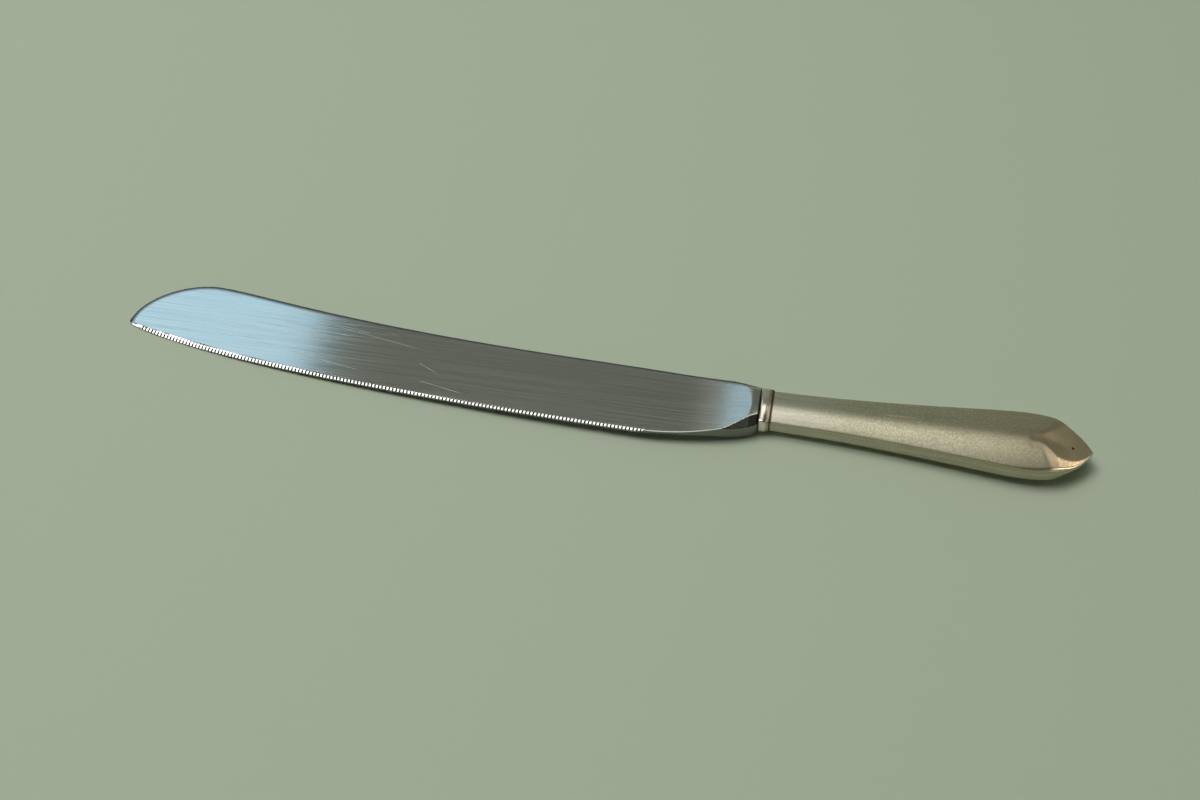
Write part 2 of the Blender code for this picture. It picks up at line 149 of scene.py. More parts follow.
# Painted dark reflection along the spine: how far in it reaches, and the share over which it fades
SPINE_SHADE_REACH = 0.0019
SPINE_SHADE_FADE = 0.6
RIDGE_BLEND = 0.00030
FLUTE_BLEND = 0.00002
EDGE_LEAST = 0.00002
HANDLE_ROUND = 0.0003
HANDLE_ROUND_SHARE = 0.4
POINT_ROUND = 0.0008
POINT_ROUND_SETBACK = 0.026
POINT_ROUND_RUN = 0.010
SHOULDER_ROUND = 0.00015
# How far the painted shade at the shoulder reaches onto the bolster
SHOULDER_SHADE_REACH = 0.00035
# How far up from the edge the painted shade on the blade's edge wall reaches
WALL_REACH = 0.00025
FACET_REACH = 0.9
FACET_LEAST = 0.0004
FACET_BLEND = 0.00008
FACET_SOFTEN = 0.02
FACET_HUMP = 0.00115
FACET_HUMP_SETBACK = 0.0155
FACET_HUMP_RISE = 0.0050
FACET_HUMP_FALL = 0.0105
FACET_DISH = 0.0006
FACET_DISH_HALF = 0.0030
FACET_DISH_BACK = 0.5
FACET_DISH_FROM = 0.25
FACET_DISH_RUN = 0.5
FACET_EASE = 0.09
FACET_EASE_FROM = 0.0016
FACET_EASE_LEAST = 0.00004
FACET_EASE_MOST = 0.0004
FACET_EASE_FADE = 0.00005
FACET_ROLL = 0.0043
FACET_ROLL_GROWTH = 0.39
FACET_ROLL_SLOPE = 0.18
FACET_ROLL_FADE = 0.0001
KEEL_SLOPE = 0.10
KEEL_ROUND = 0.0025
KEEL_CROWN_RADIUS = 0.034
SHELL_ROOF = 0.00045
CAVITY_END_WALL = 0.0006
SEAM_POINT_SHARE = 0.3
BEAD_SHARE = 0.64
BEAD_ANGLES = (0.06, math.pi - 0.25)
STEP_RISE = 0.00022
STEP_PROFILE = ((0.10, 0.74), (0.25, 0.94), (0.5, 1.0), (0.75, 0.94), (0.9, 0.74), (1.0, 0.35))

# Scratches on the blade and a painted highlight streak on the handle, in millimetres: start, length, turn,
# half width
SCRATCH_HALF = 0.09
STROKE_STARTS = 0.15
STROKE_ENDS = 0.7
SCRATCHES = [
    ((-151, 11.0), 44, -0.16),
    ((-148, 11.0), 19, -0.13),
    ((-157, -2.7), 30, -0.15),
    ((-113, -0.4), 9, -0.42),
    ((-111.5, -7.4), 17, -0.18),
]
HIGHLIGHT_STREAK = ((38.7, 1.3), 12, 0.02, 0.4)

# How finely the forms are drawn
CURVE_STEPS = 300
FINDER_STEPS = 6
NOTCH_COLUMNS = 5
FLUTE_PHASES = np.append(0, 0.5 + NOTCH_HALF / FLUTE_PITCH * np.linspace(-1, 1, NOTCH_COLUMNS))
NOSE_COLUMNS = 30
NOSE_GAP = 0.0003
PLAIN_COLUMNS = 170
PLAIN_GAP = 0.0002
BAND = 0.0024
BAND_SHARE = 0.3
BAND_SPREAD = 1.2
BAND_ROWS = 12
FACE_ROWS = 44
FACE_EVEN = 0.3
ROUND_ROWS = 6
UNDER_BAND_STRIDE = 5
UNDER_FACE_STRIDE = 3
BLADE_SHARP_ANGLE = 20
UPPER_SHELL_STEPS = (150, 170, 90)
LOWER_SHELL_STEPS = (70, 70, 40)
TURN_SETBACK = 0.004
TURN_EVEN = 0.55
TURN_EASED = 0.45
WALL_ROWS = 6
CAVITY_LANES = 15
SEAM_STEM_STEPS = 120
SEAM_POINT_STEPS = 100
RING_CORNER_STEPS = 8
RING_FACE_STEPS = 48
BEAD_STEPS = 15
RING_WALL_SHARES = (0.5, 0, -0.5)
VENT_SIDES = 32

# The colour sockets of a Mix node, by number because other sockets share their names
MIX_COLOURS = (6, 7)
MIX_RESULT = 2

# Guards against rounding and against division by nothing
PHASE_NUDGE = 1e-9
LENGTH_LEAST = 1e-12

# Scales of what the meshes keep for their materials
GRAIN_SCALE = 10
MILLIMETRES = 1000

# Where a finish fades in or out, in millimetres from the knife's shoulder
WORKED_FADE = (-85, -130)
BRUSHED_FADE = (-30, -16)
HOLLOW_START = (-25, -9)
HOLLOW_END = (-2.4, -3.2)
NECK_FADE = (34, 8)
POMMEL_FADE = (45, 90)
CREASE_END = (92, 86)
MOUTH_FADE = (3.9, 4.3)
STEP_FADE = (2.2, 2.7)
COLLAR_RIM_FADE = (0.2, 0.5)
COLLAR_END_FADE = (3.2, 3.5)
DROP_FADE_X = (1.3, 2.0)
DROP_FADE_Y = (-2.4, -4.6)
DROP_FADE_Z = (1.6, 2.4)

# Colours of the materials; DULL_SHARES and BROWN_SHARES are shares of the silver's own tint
STEEL = (0.58, 0.59, 0.58)
STEEL_STREAKS = ((0.54, 0.55, 0.54), (0.61, 0.62, 0.61))
STEEL_WORKED = (0.50, 0.51, 0.51)
STEEL_HAIR = (0.70, 0.68, 0.64)
STEEL_SCRATCH = (0.78, 0.79, 0.78)
# Painted dark reflection along the spine's rounded edge
STEEL_SPINE_SHADE = (0.06, 0.06, 0.065)
# Painted shade colour at the shoulder, where the bolster meets the collar
STEEL_SHOULDER_SHADE = (0.06, 0.05, 0.04)
# Painted shade colour in the notches
STEEL_NOTCH_SHADE = (0.03, 0.03, 0.03)
# Painted shade colour of the blade's edge wall
STEEL_WALL_SHADE = (0.17, 0.17, 0.15)
UPPER_SILVER = (0.74, 0.72, 0.56)
LOWER_SILVER = (0.73, 0.71, 0.55)
DULL_SHARES = (0.72, 0.70, 0.64)
BROWN_SHARES = (0.58, 0.48, 0.36)
# Paler colour by the neck: polished wear and a painted highlight
SILVER_NECK_WEAR_AND_HIGHLIGHT = (0.82, 0.81, 0.74)
# Painted highlight colour of the streak on the handle
SILVER_STREAK_HIGHLIGHT = (0.95, 0.80, 0.60)
# Painted highlight colour of the eased flat along the facet's crease
SILVER_FLAT_HIGHLIGHT = (0.86, 0.84, 0.68)
# Painted shade colour of the handle's side walls
SILVER_WALL_SHADE = (0.40, 0.38, 0.32)
GRIME = (0.10, 0.06, 0.035)
COLLAR_SILVER = (0.80, 0.76, 0.68)
COLLAR_CLEAN = (0.84, 0.80, 0.70)
COLLAR_TARNISH = (0.29, 0.22, 0.11)
SOLDER = (0.62, 0.59, 0.50)
SOLDER_LINES = ((0.64, 0.61, 0.51), (0.50, 0.46, 0.37))
CEMENT = (0.30, 0.26, 0.22)
CEMENT_GRIT = ((0.20, 0.17, 0.14), (0.40, 0.35, 0.30))
FLOOR = (0.52, 0.60, 0.47)

# Floor, light and camera
FLOOR_SIZE = 6
LAMP_WHITE = (1.0, 0.97, 0.92)
WINDOW_BLUE = (0.49, 0.79, 1.0)
SKY_GREEN = (0.93, 1.0, 0.80)
ROOM_BACK = (-0.3, 0.3, 0.04, 0.20)
ROOM_FAR_BACK = (0.62, 0.9, 0.0, 0.09)
ROOM_LOW = (0.48, 0.30)
ROOM_FRONT = (-0.35, -0.65, 0.0, 0.16)
ROOM_RIGHT = (-0.35, 0.0, 1.0, 0.8)
CAMERA_PLACE = (0.05350, -0.28285, 0.39933)
CAMERA_LOOKS_DOWN = 54.713
CAMERA_TURN = 10.307
CAMERA_LENS = 45
CAMERA_SENSOR = 36

# Worked out from the values above
NECK_HALF = NECK_WIDTH / 2
BOLSTER_HALF = NECK_HALF + FIT_GAP + COLLAR_RISE + BOLSTER_RISE
POMMEL_X = HANDLE_LENGTH - POMMEL_SETBACK
TURN_X = POMMEL_X - TURN_SETBACK
CAVITY_X = HANDLE_LENGTH - SHELL_WALL / math.sin(POINT_HALF_ANGLE)
ROUND_BEND = 1 - np.sin(np.linspace(0, math.pi / 2, ROUND_ROWS)[1:])
FACE_TILT = (SPINE_THICKNESS - EDGE_THICKNESS) / 2 / (WAIST_HEIGHT + EDGE_DROP)
FACE_RUN = FACE_TILT * (HUMP_HEIGHT - WAIST_HEIGHT) / (BLADE_LENGTH - HUMP_SETBACK - WAIST_SETBACK)
FACE_FLAT = (SPINE_THICKNESS + EDGE_THICKNESS) / 4 + FACE_TILT * (EDGE_DROP - WAIST_HEIGHT) / 2


def curve(*spans):
    """Points along cubic spans, each given as start, first handle, second handle and end."""
    t = np.linspace(0, 1, CURVE_STEPS)[:, None]
    s = 1 - t
    points = []
    for span in spans:
        a, b, c, d = (np.array(p, float) for p in span)
        points.append(s**3 * a + 3 * s * s * t * b + 3 * s * t * t * c + t**3 * d)
    return np.vstack(points)


def at(line, x):
    """The height of an outline at a place along the knife."""
    order = np.argsort(line[:, 0], kind="stable")
    return np.interp(x, line[order, 0], line[order, 1])


def spine_curve():
    shoulder = (0, BOLSTER_HALF)
    waist = (-WAIST_SETBACK, WAIST_HEIGHT)
    hump = (HUMP_SETBACK - BLADE_LENGTH, HUMP_HEIGHT)
    tip = (-BLADE_LENGTH, TIP_HEIGHT)
    leave = (-SHOULDER_REACH * WAIST_SETBACK, shoulder[1] + SHOULDER_LIFT * (waist[1] - shoulder[1]))
    ease = WAIST_REACH * WAIST_SETBACK
    sweep = SWEEP_REACH * (waist[0] - hump[0])
    crest = CREST_REACH * (waist[0] - hump[0])
    drop = (hump[0] - DROP_REACH * HUMP_SETBACK, hump[1])
    return curve(
        (shoulder, leave, (waist[0] + ease, waist[1] - ease * WAIST_SLOPE), waist),
        (waist, (waist[0] - sweep, waist[1] + sweep * WAIST_SLOPE), (hump[0] + crest, hump[1]), hump),
        (hump, drop, (tip[0], tip[1] + TIP_REACH * (hump[1] - tip[1])), tip),
    )


def edge_curve():
    tip = (-BLADE_LENGTH, TIP_HEIGHT)
    start = (TIP_BACK - BLADE_LENGTH, TIP_HEIGHT - TIP_DROP)
    heel = (-HEEL_SETBACK, -EDGE_DROP)
    shoulder = (0, -BOLSTER_HALF)
    run = heel[0] - start[0]
    fall = start[1] - heel[1]
    leave = (tip[0], tip[1] - TIP_REACH * TIP_DROP)
    ease = (start[0] - TIP_EASE * TIP_BACK, start[1] + TIP_LIFT * TIP_DROP)
    sweep = (start[0] + EDGE_REACH * run, start[1] - EDGE_FALL * fall)
    bulge = (-BOLSTER_REACH * HEEL_SETBACK, shoulder[1] - BOLSTER_BULGE * (shoulder[1] - heel[1]))
    return curve(
        (tip, leave, ease, start),
        (start, sweep, (heel[0] - HEEL_EASE * run, heel[1]), heel),
        (heel, (-HEEL_REACH * HEEL_SETBACK, heel[1]), bulge, shoulder),
    )


def handle_curve():
    neck = (0, NECK_HALF)
    widest = (POMMEL_X, POMMEL_WIDTH / 2)
    point = (HANDLE_LENGTH, 0)
    return curve(
        (neck, (NECK_REACH * POMMEL_X, neck[1]), ((1 - SWELL_REACH) * POMMEL_X, widest[1]), widest),
        (widest, (POMMEL_X + POMMEL_REACH * POMMEL_SETBACK, widest[1]), point, point),
    )


def soft_min(a, b, blend):
    """The lower of two heights, rounded over where they meet."""
    share = np.clip(0.5 + 0.5 * (b - a) / blend, 0, 1)
    return b + (a - b) * share - blend * share * (1 - share)


def round_drop(distance, radius):
    """How far a rounded corner falls below its face, at a distance in from the corner."""
    short = np.clip(radius - distance, 0, radius)
    return radius - np.sqrt(np.maximum(radius**2 - short**2, 0))


def distance_to(line, x, y):
    """How far each point lies from an outline."""
    steps = np.linspace(0, len(line) - 1, FINDER_STEPS * len(line))
    index = np.arange(len(line))
    dense = [np.interp(steps, index, line[:, axis]) for axis in (0, 1)]
    finder = kdtree.KDTree(len(steps))
    for i, point in enumerate(zip(*dense)):
        finder.insert((*point, 0), i)
    finder.balance()
    found = [finder.find((a, b, 0))[2] for a, b in zip(x.ravel(), y.ravel())]
    return np.array(found).reshape(x.shape)


def mesh_object(name, points, closed_along=False, flip=False, sharp=32):
    """A mesh through loops of points (loops by points by 3), capped at its ends unless it closes."""
    loops, count = points.shape[:2]
    index = np.arange(loops * count).reshape(loops, count)
    after = np.roll(index, -1, axis=1)
    if closed_along:
        here, there = index, np.roll(index, -1, axis=0)
        here_after, there_after = after, np.roll(after, -1, axis=0)
    else:
        here, there = index[:-1], index[1:]
        here_after, there_after = after[:-1], after[1:]
    quads = np.stack([here, here_after, there_after, there], axis=-1).reshape(-1, 4)
    if flip:
        quads = quads[:, ::-1]
    faces = [tuple(int(i) for i in quad) for quad in quads]
    if not closed_along:
        first = [int(i) for i in index[0]]
        last = [int(i) for i in index[-1]]
        faces += [tuple(first), tuple(reversed(last))] if flip else [tuple(reversed(first)), tuple(last)]
    mesh = bpy.data.meshes.new(name)
    mesh.from_pydata(points.reshape(-1, 3).tolist(), [], faces)
    mesh.update()
    mesh.shade_smooth()
    mesh.set_sharp_from_angle(angle=math.radians(sharp))
    step = np.linalg.norm(np.diff(points, axis=1, append=points[:, :1]), axis=2)
    around = np.cumsum(step, axis=1) - step
    flat = np.stack([around, points[:, :, 0]], axis=-1).reshape(-1, 2)
    corners = np.zeros(len(mesh.loops), np.int32)
    mesh.loops.foreach_get("vertex_index", corners)
    layer = mesh.uv_layers.new(name="grain")
    layer.data.foreach_set("uv", (flat[corners] * GRAIN_SCALE).astype(np.float32).ravel())
    obj = bpy.data.objects.new(name, mesh)
    bpy.context.scene.collection.objects.link(obj)
    for axis, letter in enumerate("XYZ"):
        store(obj, "own_" + letter, points[:, :, axis] * MILLIMETRES)
    return obj


def store(obj, name, values):
    """Keeps one number for each point of a mesh, for its material to read."""
    layer = obj.data.attributes.new(name, "FLOAT", "POINT")
    layer.data.foreach_set("value", np.asarray(values, np.float32).ravel())


def face_height(x, y):
    """The ground face of the blade: flat, then hollow up to the bolster."""
    run = x + HOLLOW_SETBACK
    hollow = HOLLOW_RADIUS - np.sqrt(HOLLOW_RADIUS**2 - np.clip(run, 0, HOLLOW_RADIUS / 2) ** 2)
    return FACE_FLAT + FACE_RUN * run + FACE_TILT * y + hollow


def bolster_crown(half):
    """The radius of the bolster's arch for half its width."""
    wall = np.maximum(half - BOLSTER_CORNER, half / 2)
    return (wall**2 + BOLSTER_CROWN**2) / 2 / BOLSTER_CROWN + BOLSTER_CORNER


def crown_height(x, y, spine, edge):
    """The arched bolster body that the blade is ground from."""
    back = at(spine, x)
    front = at(edge, x)
    half = np.maximum((back - front) / 2, TIP_WIDTH / 2)
    radius = bolster_crown(half)
    off = np.clip(y - (back + front) / 2, -half, half)
    return BOLSTER_THICKNESS / 2 - radius + np.sqrt(radius**2 - off**2)


def bevel_height(x, y, spine, edge):
    """The flats filed off the bolster's two upper corners."""
    slope = math.tan(BEVEL_SLOPE)
    ridge_y = BOLSTER_HALF - BEVEL_WIDTH
    ridge_radius = bolster_crown(BOLSTER_HALF)
    ridge_z = BOLSTER_THICKNESS / 2 - ridge_radius + math.sqrt(ridge_radius**2 - ridge_y**2)
    climbs = []
    for outline, side in ((edge, -1), (spine, 1)):
        far_y = side * float(at(outline, -BEVEL_LENGTH))
        fall = float(face_height(-BEVEL_LENGTH, side * far_y)) - ridge_z
        climbs.append((fall + (far_y - ridge_y) * slope) / BEVEL_LENGTH)
    bevel = ridge_z + (ridge_y - np.abs(y)) * slope - np.where(y < 0, *climbs) * x
    return np.where(x > -2 * BEVEL_LENGTH, bevel, BOLSTER_THICKNESS)


def blade_columns(edge, distance, first, count):
    """Where columns leave the edge, by distance along it: before the flutes, in them and after them."""
    nose = FLUTES_FROM_TIP * (1 - np.cos(np.linspace(0, math.pi / 2, NOSE_COLUMNS))) - BLADE_LENGTH
    nose = nose[nose < FLUTES_FROM_TIP - BLADE_LENGTH - NOSE_GAP]
    nose = np.interp(nose, edge[:, 0], distance)
    fluted = (np.arange(count)[:, None] + FLUTE_PHASES).ravel()
    fluted = first + np.append(fluted, count) * FLUTE_PITCH
    heel_x = float(np.interp(fluted[-1], distance, edge[:, 0])) + BAND * math.tan(FLUTE_LEAN) + PLAIN_GAP
    plain = np.linspace(heel_x, -SHOULDER_ROUND, PLAIN_COLUMNS)
    plain = np.interp(np.concatenate([plain, -SHOULDER_ROUND * ROUND_BEND]), edge[:, 0], distance)
    return nose, fluted, plain


def strip_width(place, run, first, last):
    """The strip ground along the edge: widest toward the tip, and closed past both ends of the flutes."""
    strip = STRIP_HEEL + STRIP_SWELL / (1 + (run / STRIP_FALL) ** 2)
    strip *= STRIP_TIP_SHARE + (1 - STRIP_TIP_SHARE) * np.clip((place - first) / STRIP_TIP_RUN, 0, 1)
    strip *= np.clip(place / first, STRIP_NOSE_LEAST, 1) ** STRIP_NOSE_POWER
    return strip - STRIP_CLOSE * np.clip(place - last, 0, None)


def under_rows(rows):
    """Which rows the lower side keeps, since it has no flutes."""
    face_end = BAND_ROWS + FACE_ROWS - 1
    kept = list(range(0, BAND_ROWS, UNDER_BAND_STRIDE))
    kept += list(range(BAND_ROWS, face_end, UNDER_FACE_STRIDE))
    return kept + list(range(face_end, rows))


def tang_loops(shoulder):
    """The two ends of the tang, which keep the bolster's last loop, drawn in."""
    size = shoulder.max(axis=0) - shoulder.min(axis=0)
    tang = []
    for end_x, (width, height) in ((0, TANG_ROOT), (TANG_LENGTH, TANG_END)):
        drawn = shoulder * np.array([1, width / size[1], height / size[2]])
        drawn[:, 0] = end_x
        tang.append(drawn)
    return np.array(tang)


def make_blade():
    """The blade, bolster and tang, in columns that run from the edge to the spine and back below."""
    spine = spine_curve()
    edge = edge_curve()
    distance = np.concatenate([[0], np.cumsum(np.hypot(*np.diff(edge, axis=0).T))])
    first = float(np.interp(FLUTES_FROM_TIP - BLADE_LENGTH, edge[:, 0], distance))
    room = float(np.interp(-FLUTES_FROM_SHOULDER, edge[:, 0], distance)) - first
    count = round(room / FLUTE_PITCH)
    last = first + count * FLUTE_PITCH
    nose, fluted, plain = blade_columns(edge, distance, first, count)
    place = np.concatenate([nose, fluted, plain])

    # The notch's depth at each column, and the column's way in: leaning in the flutes, straight elsewhere
    leans = np.concatenate([np.zeros(len(nose)), np.ones(len(fluted)), np.zeros(len(plain))])
    phase = (fluted - first) / FLUTE_PITCH
    across = phase - np.floor(phase + PHASE_NUDGE) - 0.5
    beside = np.maximum(NOTCH_HALF - np.abs(across) * FLUTE_PITCH, 0)
    notch = NOTCH_STEEPNESS * np.concatenate([np.zeros(len(nose)), beside, np.zeros(len(plain))])
    edge_x = np.interp(place, distance, edge[:, 0])
    edge_y = np.interp(place, distance, edge[:, 1])
    edge_y[0] = TIP_HEIGHT - TIP_WIDTH / 2
    ahead = np.interp(place + FLUTE_PITCH, distance, edge[:, 0]) - edge_x
    rise = np.interp(place + FLUTE_PITCH, distance, edge[:, 1]) - edge_y
    length = np.hypot(ahead, rise) + LENGTH_LEAST
    in_x = np.where(leans > 0, -rise / length + math.tan(FLUTE_LEAN), 0.0)
    in_y = np.where(leans > 0, ahead / length, 1.0)
    in_long = np.hypot(in_x, in_y)
    in_x, in_y = in_x / in_long, in_y / in_long

    # The land that the strip leaves at the edge, and where the notches in it break through
    thick = face_height(edge_x, edge_y)
    low = -soft_min(thick, crown_height(edge_x, edge_y, spine, edge), RIDGE_BLEND)
    run = np.clip((place - first) / (last - first), 0, 1)
    strip = strip_width(place, run, first, last)
    land = np.maximum(thick - low - strip * math.sin(FLUTE_SLOPE), EDGE_LAND)
    steep = math.tan(FLUTE_SLOPE)
    shallow = NOTCH_STEEPNESS * NOTCH_HALF / (NOTCH_REACH * (1 + NOTCH_GROWTH * run))
    start = np.maximum((notch - land + EDGE_LEAST) / (steep + shallow), 0)

    # Rows from the edge up: the band with the flutes, the face, and the round of the spine
    to_spine = at(spine, edge_x) - edge_y
    band = np.minimum(BAND, BAND_SHARE * np.maximum(to_spine, TIP_WIDTH))
    start = np.minimum(start, band / 2)
    share = np.linspace(0, 1, BAND_ROWS) ** BAND_SPREAD
    reach = start[:, None] + (band - start)[:, None] * share
    band_x = edge_x[:, None] + in_x[:, None] * reach
    band_y = edge_y[:, None] + in_y[:, None] * reach
    inner_x, inner_y = band_x[:, -1], band_y[:, -1]
    back_y = at(spine, inner_x)
    back_y[0] = TIP_HEIGHT + TIP_WIDTH / 2
    gap = back_y - inner_y
    turn = np.minimum(SPINE_ROUND, SPINE_ROUND_SHARE * gap)
    steps = np.linspace(0, 1, FACE_ROWS)
    steps = (FACE_EVEN * steps + (1 - FACE_EVEN) * (0.5 - 0.5 * np.cos(math.pi * steps)))[1:]
    face_y = inner_y[:, None] + (gap - turn)[:, None] * steps
    round_y = back_y[:, None] - turn[:, None] * ROUND_BEND
    y = np.hstack([band_y, face_y, round_y])
    x = np.hstack([band_x, np.repeat(inner_x[:, None], y.shape[1] - BAND_ROWS, axis=1)])

    # The heights of the upper and lower side
    body = soft_min(face_height(x, y), crown_height(x, y, spine, edge), RIDGE_BLEND)
    off_spine = distance_to(spine, x, y)
    off_edge = np.hypot(x - edge_x[:, None], y - edge_y[:, None])
    tip_edge = edge[edge[:, 0] < 2 * FLUTES_FROM_TIP - BLADE_LENGTH]
    for column in range(len(nose)):
        spread = np.hypot(x[column][:, None] - tip_edge[:, 0], y[column][:, None] - tip_edge[:, 1])
        off_edge[column] = spread.min(axis=1)
    plain_from = -FLUTES_FROM_SHOULDER
    corner = np.interp(edge_x, [plain_from, plain_from + CORNER_RUN], [CORNER_LEAST, BOLSTER_CORNER])
    corner = np.minimum(corner, CORNER_SHARE * band)[:, None]
    body = body - round_drop(off_spine, turn[:, None]) - round_drop(off_edge, corner)
    sunk = np.maximum(notch[:, None] - shallow[:, None] * off_edge, 0)
    cut = (low + land)[:, None] + off_edge * steep - sunk
    body = body - round_drop(-edge_x, SHOULDER_ROUND)[:, None]
    filed = soft_min(body, bevel_height(x, y, spine, edge), RIDGE_BLEND)
    top = soft_min(filed, cut, FLUTE_BLEND)
    under = np.minimum(-body, top - EDGE_LEAST)

    kept = under_rows(y.shape[1])
    upper = np.stack([x, y, top], axis=-1)
    lower = np.stack([x, y, under], axis=-1)[:, kept][:, ::-1]
    loops = np.concatenate([upper, lower], axis=1)
    tang = tang_loops(loops[-1])
    blade = mesh_object("blade_fine", np.concatenate([loops, tang]), flip=True, sharp=BLADE_SHARP_ANGLE)

    # Marks that the steel reads, each with its value on the tang: painted shade along the spine, in the
    # notches, on the edge wall and at the shoulder
    # Painted dark reflection along the spine's rounded edge
    dark = np.clip((SPINE_SHADE_REACH - off_spine) / (SPINE_SHADE_FADE * SPINE_SHADE_REACH), 0, 1)
    # Painted shade in the notches, where they cut below the filed face
    notch_shade = np.clip(sunk / NOTCH_SHADE_DEPTH, 0, 1) * (cut < filed)
    # Painted shade on the edge wall from the heel to the shoulder
    wall = np.clip(1 - off_edge / WALL_REACH, 0, 1) * (edge_x > -HEEL_SETBACK)[:, None]
    # Painted shade at the shoulder, in the gap before the collar
    shade = np.clip(1 + (x + SHOULDER_SHADE_REACH) / SHOULDER_ROUND, 0, 1)
    marks = [
        ("spine", dark, dark, 1),
        ("notch", notch_shade, np.zeros_like(notch_shade), 0),
        ("wall", wall, wall, 0),
        ("shoulder", shade, shade, 1),
    ]
    for name, above, below, on_tang in marks:
        values = np.hstack([above, below[:, kept][:, ::-1]])
        store(blade, name, np.vstack([values, np.full((len(tang), values.shape[1]), on_tang)]))
    return blade


def handle_form(x, y, half):
    """The handle's upper half: its height, then how far it is facet, rolled edge and eased crease."""
    swell = (np.where(x < POMMEL_X, half, POMMEL_WIDTH / 2) - NECK_HALF) / (POMMEL_WIDTH / 2 - NECK_HALF)
    thickness = NECK_THICKNESS + swell * (POMMEL_THICKNESS - NECK_THICKNESS)
    radius = NECK_CROWN_RADIUS + swell * (KEEL_CROWN_RADIUS - NECK_CROWN_RADIUS)
    keel = KEEL_SLOPE * swell * (np.sqrt(y**2 + KEEL_ROUND**2) - KEEL_ROUND)
    crown = thickness / 2 - radius + np.sqrt(radius**2 - y**2) - keel

    # The scooped facet toward the point, with its hump, its dish and the roll at its front edge
    setback = np.clip(HANDLE_LENGTH - x, 0, FACET_REACH * FACET_RADIUS)
    scoop = FACET_RADIUS - np.sqrt(FACET_RADIUS**2 - setback**2)
    off_hump = setback - FACET_HUMP_SETBACK
    off_hump = off_hump / np.where(off_hump > 0, FACET_HUMP_RISE, FACET_HUMP_FALL)
    hump = FACET_HUMP * np.clip(1 - off_hump**2, 0, 1) ** 2
    deep = np.clip((setback / POMMEL_SETBACK - FACET_DISH_FROM) / FACET_DISH_RUN, 0, 1)
    deep = deep * deep * (3 - 2 * deep)
    dish = FACET_DISH * deep * y**2 / (y**2 + FACET_DISH_HALF**2) * np.where(y < 0, 1, FACET_DISH_BACK)
    roll_width = np.minimum(FACET_ROLL_GROWTH * setback, FACET_ROLL)
    roll = FACET_ROLL_SLOPE * np.clip(roll_width - (half + y), 0, None)
    facet = POINT_THICKNESS / 2 + FACET_SLOPE * setback + scoop + hump + dish - roll
    facet = np.maximum(facet, FACET_LEAST)

    # The crease where the facet meets the crown, eased by a small flat
    blend = FACET_BLEND + FACET_SOFTEN * np.abs(y)
    inside = np.clip(0.5 + 0.5 * (crown - facet) / blend, 0, 1)
    ease = FACET_EASE_LEAST + FACET_EASE * np.clip(np.abs(y) - FACET_EASE_FROM, 0, None)
    eased = (crown + facet) / 2 - np.minimum(ease, FACET_EASE_MOST)
    flat = np.clip((np.minimum(crown, facet) - eased) / FACET_EASE_FADE, 0, 1)
    rolled = inside * np.clip(roll / FACET_ROLL_FADE, 0, 1) * (1 - flat)
    height = soft_min(soft_min(crown, facet, blend), eased, blend)
    return height, inside, rolled, flat


